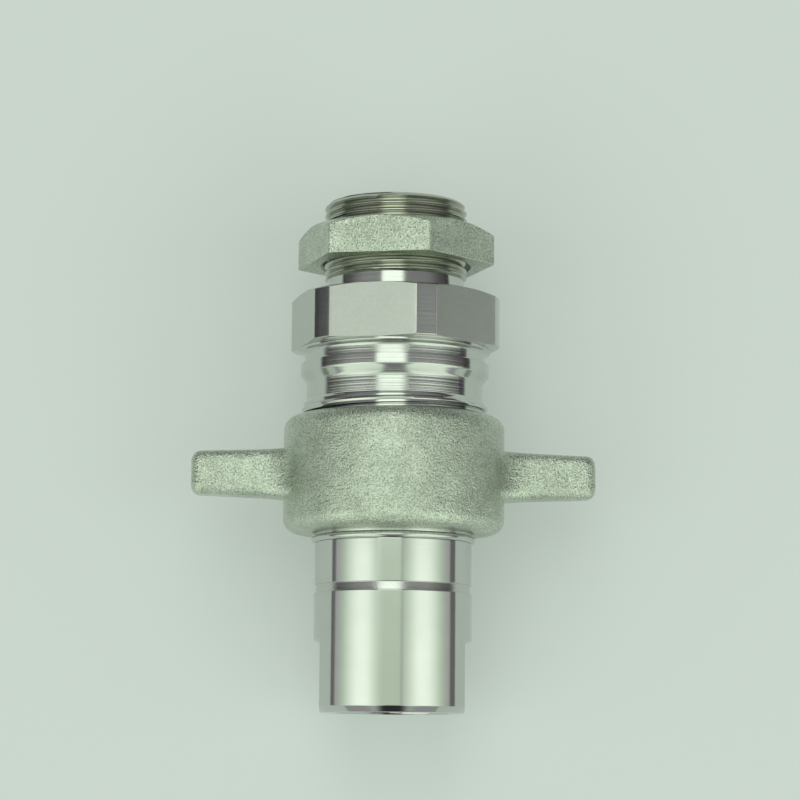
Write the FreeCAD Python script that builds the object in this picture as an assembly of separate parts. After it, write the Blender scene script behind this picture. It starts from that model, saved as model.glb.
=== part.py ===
import FreeCAD, Part
import math
import os

# A wing-nut hydraulic quick coupler, both halves screwed together, lying on a table.
# Millimetres. Y is the flow axis, +Y towards the bulkhead end, +Z up, and the origin is
# on the axis at the centre of the shoulder that seats on the panel.

# Bulkhead thread and neck of the male half
bulkhead_reach = 27.3
bulkhead_thread_r = 20.65
bulkhead_end_chamfer = 1.1
undercut_depth = 0.8
undercut_length = 4.5
undercut_corner = 0.6

# Hexagon of the male half, its corners turned down
hex_flats = 55.5
hex_corner_cut = 1.6
hex_length = 15.2
hex_turn = 16.7
hex_front_chamfer = 0.9
hex_chamfer_angle = 30.0
hex_rear_angle = 26.0

# Turned neck, collar and groove between the hexagon and the union thread
neck_step = 1.75
neck_length = 2.6
collar_rise = 0.3
collar_length = 3.2
collar_bevel = 2.3
groove_drop = 1.5
groove_length = 5.1
thread_run_in = 1.9

# Union thread, nose and the travel of the two halves
union_thread_r = 26.9
union_pitch = 3.0
turns_to_part = 4
union_thread_length = 13.6
nose_length = 17.0
nose_chamfer = 0.8

# Ports at both ends, and the stepped bore of the male half
port_r = 15.15
port_depth = 17.5
port_mouth_chamfer = 1.6
guide_step = 0.65
guide_shoulder = 1.0
guide_seat_y = -14.0
seat_step = 2.5
throat_length = 3.3

# Jam nut
jam_nut_wall = 4.55
jam_nut_thick = 10.7
jam_nut_y = 9.1
jam_nut_turn = 19.3
jam_nut_bore_chamfer = 1.2

# Poppet valve of the male half
poppet_head_length = 8.0
poppet_flange_lap = 0.7
poppet_stem_r = 4.0
poppet_stem_bevel = 1.0
poppet_run_out = 1.0
poppet_spigot_r = 7.2
poppet_spigot_length = 1.2
guide_thick = 5.0
guide_rim_wall = 1.9
guide_hub_lap = 0.6
guide_arm_width = 4.0
guide_arms = 3
snap_ring_thick = 1.5
snap_ring_depth = 1.25
snap_ring_lap = 1.4
snap_ring_gap = 40.0
snap_ring_eye_r = 1.1

# Socket body, its radii counted inwards from the union thread
flange_clear = 1.9
flange_height = 2.5
flange_length = 8.0
shell_wall = 2.3
spigot_wall = 0.62
spigot_length = 8.95
joint_relief_depth = 0.5
joint_relief_length = 0.95
wire_setback = 1.9

# Wing nut
nut_wall = 4.15
nut_length = 33.4
nut_lip_length = 14.43
nut_edge_radius = 3.9
nut_mouth_length = 0.9
nut_mouth_rise = 0.45
nut_relief_length = 6.0
nut_relief_depth = 0.65
wing_reach = 26.4
wing_setback = 16.7
wing_turn = 3.5
wing_root_height = 13.9
wing_tip_height = 12.25
wing_root_half_thick = 6.2
wing_tip_half_thick = 5.0
wing_root_fillet = 12.0
wing_tip_radius = 3.4
wing_corner_radius = 2.4
wing_edge_radius = 2.0

# Retaining wire, o-rings, back-up rings and moulded valve seals
wire_r = 1.0
wire_proud = 1.0
wire_gap = 9.0
wire_sides = 8
o_ring_section = 2.0
backup_thick = 1.0
mouth_seal_setback = 1.2
sleeve_seal_setback = 9.93
adapter_seal_setback = 1.2
head_seal_width = 1.6
head_seal_depth = 1.6

# Sliding sleeve
sleeve_length = 28.0
sleeve_run_out = 2.93
sleeve_lip_length = 5.0
sleeve_bore_step = 2.4
sleeve_pocket_wall = 1.25
sleeve_pocket_start = 9.0

# Fixed valve stem, its spider and nut
stem_head_step = 0.5
stem_head_length = 5.0
stem_cone_length = 2.75
stem_r = 5.0
stem_shoulder = 1.0
stem_thread_length = 8.2
spider_thick = 4.0
spider_rim_lap = 0.5
spider_hub_wall = 2.0
spider_arm_width = 4.0
spider_arms = 3
stem_nut_flats = 13.0
stem_nut_thick = 4.0

# Springs
spring_wire_r = 1.0
spring_side_gap = 0.2
poppet_spring_coils = 8
sleeve_spring_coils = 6

# Adapter at the hose end
adapter_rise = 0.1
adapter_floor = 4.3
adapter_flat_depth = 2.1
adapter_flats_length = 20.0
adapter_end_chamfer = 1.75
port_shoulder = 1.65

# Clearances, the small break of sharp edges, and how far cutters and spokes run on
thread_gap = 0.05
running_gap = 0.05
sleeve_gap = 0.1
nut_gap = 0.1
valve_gap = 0.1
seal_gap = 0.03
seat_gap = 0.3
edge_break = 0.4
overshoot = 1.0
spoke_sink = 0.5

# Radii and widths worked out from the sizes above
undercut_r = bulkhead_thread_r - undercut_depth
jam_nut_flats = 2 * (bulkhead_thread_r + jam_nut_wall)
hex_turned_r = hex_flats / math.sqrt(3) - hex_corner_cut
neck_r = hex_flats / 2 - neck_step
collar_r = union_thread_r + collar_rise
groove_r = union_thread_r - groove_drop
flange_r = union_thread_r - flange_clear
socket_r = flange_r - flange_height
spigot_r = socket_r - shell_wall
groove_depth = o_ring_section + seal_gap
mouth_r = spigot_r - groove_depth - spigot_wall
nose_r = mouth_r - running_gap
sleeve_r = mouth_r - sleeve_gap
guide_bore_r = port_r - guide_step
chamber_r = guide_bore_r - guide_shoulder
throat_r = chamber_r - seat_step
stem_head_r = throat_r - stem_head_step
stem_thread_r = stem_r - stem_shoulder
lip_r = stem_head_r + valve_gap
sleeve_bore_r = lip_r + sleeve_bore_step
sleeve_pocket_r = sleeve_r - sleeve_pocket_wall
poppet_spring_mean_r = poppet_spigot_r + spring_side_gap + spring_wire_r
sleeve_spring_mean_r = sleeve_pocket_r - spring_side_gap - spring_wire_r
nut_bore_r = union_thread_r + thread_gap
nut_relief_r = nut_bore_r + nut_relief_depth
nut_r = nut_relief_r + nut_wall
nut_lip_r = socket_r + nut_gap
wing_tip_x = nut_r + wing_reach
adapter_r = socket_r + adapter_rise
adapter_bore_r = port_r - port_shoulder

# Stations along the axis, worked out from the lengths above
hex_end_y = -hex_length
chamfer_fall = (hex_turned_r - neck_r) * math.tan(math.radians(hex_rear_angle))
neck_y = hex_end_y - chamfer_fall
collar_y = neck_y - neck_length
bevel_y = collar_y - collar_length
groove_y = bevel_y - collar_bevel
run_in_y = groove_y - groove_length
thread_y = run_in_y - thread_run_in
face_y = thread_y - union_thread_length
nose_y = face_y - nose_length
travel = union_pitch * turns_to_part
valve_y = nose_y + travel
sleeve_seal_y = nose_y - sleeve_seal_setback
nut_lip_y = face_y - flange_length - nut_gap
nut_rear_y = nut_lip_y - nut_lip_length
nut_front_y = nut_rear_y + nut_length
wing_y = nut_rear_y + wing_setback
wire_groove_y = nut_rear_y - wire_setback
spigot_end_y = nose_y - sleeve_length - sleeve_run_out
shell_end_y = spigot_end_y + spigot_length
spider_back_y = spigot_end_y - spider_thick
port_floor_y = spider_back_y - adapter_floor
adapter_end_y = port_floor_y - port_depth
seal_middle_y = shell_end_y - adapter_seal_setback - o_ring_section / 2

AXIS = FreeCAD.Vector(0, 1, 0)
ORIGIN = FreeCAD.Vector(0, 0, 0)


def on_axis(y):
    return FreeCAD.Vector(0, y, 0)


def turned(points):
    """A solid of revolution about the flow axis from (radius, y) corners."""
    corners = [FreeCAD.Vector(r, y, 0) for r, y in points]
    outline = Part.makePolygon(corners + corners[:1])
    return Part.Face(outline).revolve(ORIGIN, AXIS, 360)


def rod(r, y_low, y_high):
    return Part.makeCylinder(r, y_high - y_low, on_axis(y_low), AXIS)


def tube(r_out, r_in, y_low, y_high):
    return rod(r_out, y_low, y_high).cut(rod(r_in, y_low, y_high))


def spoke_angle(number, count):
    return 360.0 * number / count


def hex_prism(flats, y_low, y_high, turn):
    """A hexagonal prism along the axis, a corner turned from +Z towards +X by turn degrees."""
    corner_r = flats / math.sqrt(3)
    corners = []
    for number in range(6):
        angle = math.radians(turn + spoke_angle(number, 6))
        corners.append(FreeCAD.Vector(corner_r * math.sin(angle), y_low, corner_r * math.cos(angle)))
    outline = Part.makePolygon(corners + corners[:1])
    return Part.Face(outline).extrude(FreeCAD.Vector(0, y_high - y_low, 0))


def rounded(shape, radius, picked):
    """Rounds the circular edges of a turned shape that picked(radius, y) chooses."""
    edges = []
    for edge in shape.Edges:
        if isinstance(edge.Curve, Part.Circle) and picked(edge.Curve.Radius, edge.Curve.Center.y):
            edges.append(edge)
    return shape.makeFillet(radius, edges)


def near(a, b):
    return abs(a - b) < 1e-6


def wire_section(radius, centre):
    """Outline of a round wire or cord with few faces, as wide as the wire both ways."""
    corners = []
    for number in range(wire_sides):
        angle = math.radians(spoke_angle(number + 0.5, wire_sides))
        reach = radius / math.cos(math.pi / wire_sides)
        corners.append(centre + FreeCAD.Vector(reach * math.cos(angle), reach * math.sin(angle), 0))
    return Part.makePolygon(corners + corners[:1])


def wire_ring(radius, mean_r, y_middle, degrees):
    """Round wire or cord bent about the axis, from +X through -Z."""
    section = wire_section(radius, FreeCAD.Vector(mean_r, y_middle, 0))
    return Part.Face(section).revolve(ORIGIN, AXIS, degrees)


def o_ring(inner_r, y_middle):
    section_r = o_ring_section / 2
    return wire_ring(section_r, inner_r + section_r, y_middle, 360)


def coil_spring(mean_r, coils, y_low, y_high):
    """Round wire on a helix, its end turns lying just inside y_low and y_high."""
    length = y_high - y_low - 2 * spring_wire_r
    helix = Part.makeHelix(length / coils, length, mean_r)
    helix.rotate(ORIGIN, FreeCAD.Vector(1, 0, 0), -90)
    helix.translate(on_axis(y_low + spring_wire_r))
    start = FreeCAD.Vector(mean_r, y_low + spring_wire_r, 0)
    section = wire_section(spring_wire_r, start)
    return Part.Wire(helix.Edges).makePipeShell([section], True, True)


def male_body():
    """Bulkhead thread, hexagon, collar, union thread and nose, bored through for the valve."""
    chamfer_slope = math.tan(math.radians(hex_chamfer_angle))
    front_fall = hex_front_chamfer * chamfer_slope
    barrel = turned([
        (0, bulkhead_reach),
        (bulkhead_thread_r - bulkhead_end_chamfer, bulkhead_reach),
        (bulkhead_thread_r, bulkhead_reach - bulkhead_end_chamfer),
        (bulkhead_thread_r, undercut_length + undercut_corner),
        (undercut_r, undercut_length),
        (undercut_r, 0),
        (hex_turned_r - hex_front_chamfer, 0),
        (hex_turned_r, -front_fall),
        (hex_turned_r, hex_end_y),
        (neck_r, neck_y),
        (neck_r, collar_y),
        (collar_r, collar_y),
        (collar_r, bevel_y),
        (groove_r, groove_y),
        (groove_r, run_in_y),
        (union_thread_r, thread_y),
        (union_thread_r, face_y + nose_chamfer),
        (union_thread_r - nose_chamfer, face_y),
        (nose_r, face_y),
        (nose_r, nose_y + nose_chamfer),
        (nose_r - nose_chamfer, nose_y),
        (0, nose_y),
    ])
    waste = tube(hex_turned_r + overshoot, overshoot, neck_y, 0)
    waste = waste.cut(hex_prism(hex_flats, neck_y, 0, hex_turn))
    seat_y = nose_y + throat_length
    seat_top_y = seat_y + chamber_r - throat_r
    snap_y = guide_seat_y + guide_thick
    snap_groove_r = guide_bore_r + snap_ring_depth
    port_end_y = bulkhead_reach - port_depth
    bore = turned([
        (0, nose_y - overshoot),
        (throat_r, nose_y - overshoot),
        (throat_r, seat_y),
        (chamber_r, seat_top_y),
        (chamber_r, guide_seat_y),
        (guide_bore_r, guide_seat_y),
        (guide_bore_r, snap_y),
        (snap_groove_r, snap_y),
        (snap_groove_r, snap_y + snap_ring_thick),
        (guide_bore_r, snap_y + snap_ring_thick),
        (guide_bore_r, port_end_y),
        (port_r, port_end_y),
        (port_r, bulkhead_reach - port_mouth_chamfer),
        (port_r + port_mouth_chamfer, bulkhead_reach),
        (port_r + port_mouth_chamfer, bulkhead_reach + overshoot),
        (0, bulkhead_reach + overshoot),
    ])
    return barrel.cut(waste).cut(bore)


def bulkhead_jam_nut():
    """Forged hexagon nut, chamfered on its outer face only."""
    corner_r = jam_nut_flats / math.sqrt(3)
    washer_r = jam_nut_flats / 2 - edge_break
    top_y = jam_nut_y + jam_nut_thick
    fall = (corner_r - washer_r) * math.tan(math.radians(hex_chamfer_angle))
    bore_r = bulkhead_thread_r + thread_gap
    envelope = turned([
        (bore_r, jam_nut_y + jam_nut_bore_chamfer),
        (bore_r + jam_nut_bore_chamfer, jam_nut_y),
        (corner_r, jam_nut_y),
        (corner_r, top_y - fall),
        (washer_r, top_y),
        (bore_r + jam_nut_bore_chamfer, top_y),
        (bore_r, top_y - jam_nut_bore_chamfer),
    ])
    return envelope.common(hex_prism(jam_nut_flats, jam_nut_y, top_y, jam_nut_turn))


def seal_groove(head_r, y_low):
    """The ring of metal taken out of a valve head for its moulded seal."""
    return tube(head_r + overshoot, head_r - head_seal_depth, y_low, y_low + head_seal_width)


def moulded_seal(head_r, bore_r, y_low):
    """A square-section seal that fills its groove and stands up to its mate's bore."""
    return tube(bore_r - seal_gap, head_r - head_seal_depth, y_low, y_low + head_seal_width)


def poppet_seal_y():
    return valve_y + (throat_length - head_seal_width) / 2


def male_poppet():
    """Flat-faced plug, stop cone, spring spigot and guide stem in one turned piece."""
    plug_r = throat_r - valve_gap
    plug_y = valve_y + throat_length
    flange_rim_r = throat_r + poppet_flange_lap
    cone_y = plug_y + flange_rim_r - plug_r
    back_y = valve_y + poppet_head_length
    stem_y = guide_seat_y + guide_thick + travel + poppet_run_out
    plug = turned([
        (0, valve_y),
        (plug_r - edge_break, valve_y),
        (plug_r, valve_y + edge_break),
        (plug_r, plug_y + seat_gap),
        (flange_rim_r, cone_y + seat_gap),
        (flange_rim_r, back_y),
        (poppet_spigot_r, back_y),
        (poppet_spigot_r, back_y + poppet_spigot_length),
        (poppet_stem_r, back_y + poppet_spigot_length + poppet_stem_bevel),
        (poppet_stem_r, stem_y - edge_break),
        (poppet_stem_r - edge_break, stem_y),
        (0, stem_y),
    ])
    return plug.cut(seal_groove(plug_r, poppet_seal_y()))


def poppet_seal():
    return moulded_seal(throat_r - valve_gap, throat_r, poppet_seal_y())


def spider(rim_out_r, rim_in_r, hub_r, bore_r, arm_width, arms, y_low, y_high):
    """A rim and a hub joined by radial arms, with the flow windows between them."""
    wheel = tube(rim_out_r, rim_in_r, y_low, y_high).fuse(tube(hub_r, bore_r, y_low, y_high))
    for number in range(arms):
        arm = Part.makeBox(arm_width, y_high - y_low, rim_in_r - hub_r + 2 * spoke_sink)
        arm.translate(FreeCAD.Vector(-arm_width / 2, y_low, hub_r - spoke_sink))
        arm.rotate(ORIGIN, AXIS, spoke_angle(number, arms))
        wheel = wheel.fuse(arm)
    return wheel.removeSplitter()


def poppet_guide():
    """Spider that carries the poppet's stem and the fixed end of its spring."""
    rim_r = guide_bore_r - running_gap
    hub_r = poppet_spring_mean_r + spring_wire_r + guide_hub_lap
    return spider(rim_r, guide_bore_r - guide_rim_wall, hub_r, poppet_stem_r + running_gap,
                  guide_arm_width, guide_arms, guide_seat_y, guide_seat_y + guide_thick)


def guide_snap_ring():
    """Internal snap ring with two plier eyes beside its gap."""
    y_low = guide_seat_y + guide_thick
    y_high = y_low + snap_ring_thick
    outer_r = guide_bore_r + snap_ring_depth - running_gap
    inner_r = guide_bore_r - snap_ring_lap
    ring = tube(outer_r, inner_r, y_low, y_high)
    slot = Part.makeBox(2 * outer_r, snap_ring_thick, outer_r)
    slot.translate(FreeCAD.Vector(0, y_low, 0))
    opening = slot.common(rotated(slot, -90 + snap_ring_gap))
    ring = ring.cut(opening)
    lug_r = 2 * snap_ring_eye_r
    lug_angle = math.degrees(math.asin((lug_r + edge_break) / inner_r))
    for turn in (-lug_angle, snap_ring_gap + lug_angle):
        ring = snap_ring_eye(ring, inner_r, lug_r, turn, y_low, y_high)
    return ring


def rotated(shape, degrees):
    copy = shape.copy()
    copy.rotate(ORIGIN, AXIS, degrees)
    return copy


def snap_ring_eye(ring, centre_r, lug_r, turn, y_low, y_high):
    """Adds a lug with a plier hole to the ring, turned from +Z by turn degrees."""
    centre = FreeCAD.Vector(0, y_low, centre_r)
    lug = Part.makeCylinder(lug_r, y_high - y_low, centre, AXIS)
    eye = Part.makeCylinder(snap_ring_eye_r, y_high - y_low, centre, AXIS)
    return ring.fuse(rotated(lug, turn)).cut(rotated(eye, turn))


def poppet_spring():
    return coil_spring(poppet_spring_mean_r, poppet_spring_coils,
                       valve_y + poppet_head_length, guide_seat_y)


def socket_body():
    """Front flange, wire groove and rear spigot, bored for the nose and the sleeve."""
    wire_floor_r = socket_r + wire_proud - 2 * wire_r
    wall = turned([
        (mouth_r, face_y),
        (flange_r - edge_break, face_y),
        (flange_r, face_y - edge_break),
        (flange_r, face_y - flange_length),
        (socket_r, face_y - flange_length),
        (socket_r, wire_groove_y + wire_r),
        (wire_floor_r, wire_groove_y + wire_r),
        (wire_floor_r, wire_groove_y - wire_r),
        (socket_r, wire_groove_y - wire_r),
        (socket_r, shell_end_y + joint_relief_length),
        (socket_r - joint_relief_depth, shell_end_y + joint_relief_length),
        (socket_r - joint_relief_depth, shell_end_y),
        (spigot_r, shell_end_y),
        (spigot_r, seal_middle_y + o_ring_section / 2),
        (spigot_r - groove_depth, seal_middle_y + o_ring_section / 2),
        (spigot_r - groove_depth, seal_middle_y - o_ring_section / 2),
        (spigot_r, seal_middle_y - o_ring_section / 2),
        (spigot_r, spigot_end_y + edge_break),
        (spigot_r - edge_break, spigot_end_y),
        (mouth_r, spigot_end_y),
    ])
    seal_width = o_ring_section + backup_thick
    for top_y in (face_y - mouth_seal_setback, sleeve_seal_y):
        seat = tube(mouth_r + groove_depth, mouth_r - overshoot, top_y - seal_width, top_y)
        wall = wall.cut(seat)
    return wall


def mouth_o_ring():
    return o_ring(mouth_r + seal_gap, face_y - mouth_seal_setback - o_ring_section / 2)


def backup_ring(top_y):
    return tube(mouth_r + groove_depth, mouth_r + seal_gap, top_y - backup_thick, top_y)


def mouth_backup_ring():
    return backup_ring(face_y - mouth_seal_setback - o_ring_section)


def sleeve_o_ring():
    return o_ring(mouth_r + seal_gap, sleeve_seal_y - o_ring_section / 2)


def sleeve_backup_ring():
    return backup_ring(sleeve_seal_y - o_ring_section)


def adapter_o_ring():
    return o_ring(spigot_r - groove_depth, seal_middle_y)


def nut_retaining_wire():
    """Open ring of round wire sprung into the groove behind the wing nut."""
    mean_r = socket_r + wire_proud - wire_r
    ring = wire_ring(wire_r, mean_r, wire_groove_y, 360 - wire_gap)
    return rotated(ring, 90 + wire_gap / 2)


def wing_outline():
    """The two wings seen along the axis: flared into the barrel, tapered, round at the tips."""
    tip_x = wing_tip_x
    slope = (wing_root_half_thick - wing_tip_half_thick) / wing_reach
    lean = math.atan(slope)
    # the flare's centre is one fillet radius off the wing's side and off the barrel
    reach = nut_r + wing_root_fillet
    side_at_axis = wing_root_half_thick + slope * nut_r
    offset = side_at_axis + wing_root_fillet / math.cos(lean)
    flare_x = solve_flare(reach, offset, slope)
    flare_z = offset - slope * flare_x
    barrel_touch = (flare_x * nut_r / reach, flare_z * nut_r / reach)
    side_touch = (flare_x - wing_root_fillet * math.sin(lean),
                  flare_z - wing_root_fillet * math.cos(lean))
    flare_middle = arc_middle((flare_x, flare_z), barrel_touch, side_touch, wing_root_fillet)
    tip_z = side_at_axis - slope * (tip_x - wing_tip_radius) - wing_tip_radius / math.cos(lean)
    tip_centre = (tip_x - wing_tip_radius, tip_z)
    tip_touch = (tip_centre[0] + wing_tip_radius * math.sin(lean),
                 tip_centre[1] + wing_tip_radius * math.cos(lean))
    tip_end = (tip_x, tip_z)
    tip_middle = arc_middle(tip_centre, tip_touch, tip_end, wing_tip_radius)
    edges = []
    for side_x in (1, -1):
        for side_z in (1, -1):
            def at(point):
                return FreeCAD.Vector(side_x * point[0], 0, side_z * point[1])
            edges.append(Part.Arc(at(barrel_touch), at(flare_middle), at(side_touch)).toShape())
            edges.append(Part.LineSegment(at(side_touch), at(tip_touch)).toShape())
            edges.append(Part.Arc(at(tip_touch), at(tip_middle), at(tip_end)).toShape())
        edges.append(Part.LineSegment(FreeCAD.Vector(side_x * tip_x, 0, tip_z),
                                      FreeCAD.Vector(side_x * tip_x, 0, -tip_z)).toShape())
    for side_z in (1, -1):
        edges.append(Part.LineSegment(
            FreeCAD.Vector(barrel_touch[0], 0, side_z * barrel_touch[1]),
            FreeCAD.Vector(-barrel_touch[0], 0, side_z * barrel_touch[1])).toShape())
    return Part.Wire(Part.__sortEdges__(edges))


def solve_flare(reach, offset, slope):
    """x where a circle of radius reach meets the line z = offset - slope * x."""
    a = 1 + slope * slope
    b = -2 * offset * slope
    c = offset * offset - reach * reach
    return (-b + math.sqrt(b * b - 4 * a * c)) / (2 * a)


def arc_middle(centre, start, end, radius):
    """The point of an arc that lies midway between its ends, on the short way round."""
    mid_x = (start[0] + end[0]) / 2 - centre[0]
    mid_z = (start[1] + end[1]) / 2 - centre[1]
    length = math.hypot(mid_x, mid_z)
    return (centre[0] + mid_x * radius / length, centre[1] + mid_z * radius / length)


def wing_side_view():
    """The two wings seen from above: taller at the barrel, with rounded tip corners."""
    tip_x = wing_tip_x
    fall = (wing_root_height - wing_tip_height) / 2 / wing_reach
    middle_half = wing_root_height / 2 + fall * nut_r
    corners = []
    for side_x, side_y in ((1, 1), (1, -1), (-1, -1), (-1, 1)):
        corners.append(FreeCAD.Vector(side_x * tip_x, side_y * wing_tip_height / 2, 0))
        if side_x == side_y:
            corners.insert(-1, FreeCAD.Vector(0, side_y * middle_half, 0))
    outline = Part.makePolygon(corners + corners[:1])
    slab = Part.Face(outline).extrude(FreeCAD.Vector(0, 0, 2 * nut_r))
    slab.translate(FreeCAD.Vector(0, 0, -nut_r))
    tips = [edge for edge in slab.Edges
            if all(near(abs(v.Point.x), tip_x) for v in edge.Vertexes)
            and near(edge.Vertexes[0].Point.y, edge.Vertexes[1].Point.y)]
    return slab.makeFillet(wing_corner_radius, tips)


def rounded_long_edges(wings):
    """Rounds the edges of the wings' two end faces where they stand outside the barrel."""
    edges = []
    for face in wings.Faces:
        if not isinstance(face.Surface, Part.Plane) or abs(face.normalAt(0, 0).y) < 0.9:
            continue
        for edge in face.Edges:
            middle = edge.valueAt((edge.FirstParameter + edge.LastParameter) / 2)
            if abs(middle.z) > edge_break and math.hypot(middle.x, middle.z) > nut_r - edge_break:
                edges.append(edge)
    return wings.makeFillet(wing_edge_radius, edges)


def wing_nut():
    """Forged barrel and wings in one piece, bored and threaded at the front."""
    barrel = rod(nut_r, nut_rear_y - wing_y, nut_front_y - wing_y)
    barrel = rounded(barrel, nut_edge_radius, lambda r, y: near(r, nut_r))
    plate = Part.Face(wing_outline()).extrude(FreeCAD.Vector(0, 2 * wing_root_height, 0))
    plate.translate(on_axis(-wing_root_height))
    wings = rounded_long_edges(plate.common(wing_side_view()))
    nut = rotated(barrel.fuse(wings), wing_turn)
    nut.translate(on_axis(wing_y))
    bore = turned([
        (0, nut_rear_y - overshoot),
        (nut_lip_r + edge_break, nut_rear_y - overshoot),
        (nut_lip_r + edge_break, nut_rear_y),
        (nut_lip_r, nut_rear_y + edge_break),
        (nut_lip_r, nut_lip_y),
        (nut_relief_r, nut_lip_y),
        (nut_relief_r, nut_lip_y + nut_relief_length),
        (nut_bore_r, nut_lip_y + nut_relief_length + nut_relief_depth),
        (nut_bore_r, nut_front_y - nut_mouth_length),
        (nut_bore_r + nut_mouth_rise, nut_front_y),
        (nut_bore_r + nut_mouth_rise, nut_front_y + overshoot),
        (0, nut_front_y + overshoot),
    ])
    return nut.cut(bore)


def valve_sleeve():
    """Sleeve with a sealing lip at the front and a spring pocket behind."""
    back_y = nose_y - sleeve_length
    lip_end_y = nose_y - sleeve_lip_length
    flare_y = lip_end_y - (sleeve_bore_r - lip_r)
    pocket_y = nose_y - sleeve_pocket_start
    return turned([
        (lip_r, nose_y),
        (sleeve_r - edge_break, nose_y),
        (sleeve_r, nose_y - edge_break),
        (sleeve_r, back_y + edge_break),
        (sleeve_r - edge_break, back_y),
        (sleeve_pocket_r, back_y),
        (sleeve_pocket_r, pocket_y),
        (sleeve_bore_r, pocket_y),
        (sleeve_bore_r, flare_y),
        (lip_r, lip_end_y),
    ])


def sleeve_spring():
    return coil_spring(sleeve_spring_mean_r, sleeve_spring_coils,
                       spigot_end_y, nose_y - sleeve_pocket_start)


def stem_seal_y():
    return valve_y - (stem_head_length + head_seal_width) / 2


def valve_stem():
    """Mushroom head on a fixed stem, threaded at the back for its nut."""
    head_end_y = valve_y - stem_head_length
    thread_end_y = spigot_end_y - stem_thread_length
    mushroom = turned([
        (0, valve_y),
        (stem_head_r - edge_break, valve_y),
        (stem_head_r, valve_y - edge_break),
        (stem_head_r, head_end_y),
        (stem_r, head_end_y - stem_cone_length),
        (stem_r, spigot_end_y),
        (stem_thread_r, spigot_end_y),
        (stem_thread_r, thread_end_y + edge_break),
        (stem_thread_r - edge_break, thread_end_y),
        (0, thread_end_y),
    ])
    return mushroom.cut(seal_groove(stem_head_r, stem_seal_y()))


def stem_head_seal():
    return moulded_seal(stem_head_r, lip_r, stem_seal_y())


def stem_spider():
    """Spider clamped between the socket body's spigot and the adapter."""
    return spider(spigot_r, adapter_bore_r + spider_rim_lap, stem_r + spider_hub_wall,
                  stem_thread_r + running_gap, spider_arm_width, spider_arms,
                  spider_back_y, spigot_end_y)


def stem_nut():
    nut = hex_prism(stem_nut_flats, spider_back_y - stem_nut_thick, spider_back_y, 0)
    return nut.cut(rod(stem_thread_r + thread_gap, spider_back_y - stem_nut_thick, spider_back_y))


def hose_adapter():
    """Rear adapter with the hose port, turned to match the socket body, and two spanner flats."""
    joint_r = socket_r - joint_relief_depth
    chamfer_r = adapter_r - adapter_end_chamfer
    shell = turned([
        (0, shell_end_y),
        (joint_r, shell_end_y),
        (joint_r, shell_end_y - joint_relief_length),
        (adapter_r, shell_end_y - joint_relief_length),
        (adapter_r, adapter_end_y + adapter_end_chamfer),
        (chamfer_r, adapter_end_y),
        (0, adapter_end_y),
    ])
    counterbore_r = spigot_r + thread_gap
    bore = turned([
        (0, shell_end_y + overshoot),
        (counterbore_r, shell_end_y + overshoot),
        (counterbore_r, spider_back_y),
        (adapter_bore_r, spider_back_y),
        (adapter_bore_r, port_floor_y),
        (port_r, port_floor_y),
        (port_r, adapter_end_y + port_mouth_chamfer),
        (port_r + port_mouth_chamfer, adapter_end_y),
        (port_r + port_mouth_chamfer, adapter_end_y - overshoot),
        (0, adapter_end_y - overshoot),
    ])
    shell = shell.cut(bore)
    flats = Part.makeBox(2 * (adapter_r - adapter_flat_depth), adapter_flats_length, 2 * adapter_r)
    flats.translate(FreeCAD.Vector(adapter_flat_depth - adapter_r, adapter_end_y, -adapter_r))
    waste = rod(adapter_r + overshoot, adapter_end_y, adapter_end_y + adapter_flats_length)
    return shell.cut(waste.cut(flats))


PIECES = [
    male_body,
    bulkhead_jam_nut,
    male_poppet,
    poppet_seal,
    poppet_spring,
    poppet_guide,
    guide_snap_ring,
    socket_body,
    mouth_o_ring,
    mouth_backup_ring,
    wing_nut,
    nut_retaining_wire,
    valve_sleeve,
    sleeve_o_ring,
    sleeve_backup_ring,
    sleeve_spring,
    valve_stem,
    stem_head_seal,
    stem_spider,
    stem_nut,
    hose_adapter,
    adapter_o_ring,
]

os.makedirs("parts", exist_ok=True)
for piece in PIECES:
    solid = piece()
    name = piece.__name__
    if not solid.isValid() or len(solid.Solids) != 1:
        print("check", name, "valid", solid.isValid(), "solids", len(solid.Solids))
    solid.exportStep("parts/" + name + ".step")
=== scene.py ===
import math

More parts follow.
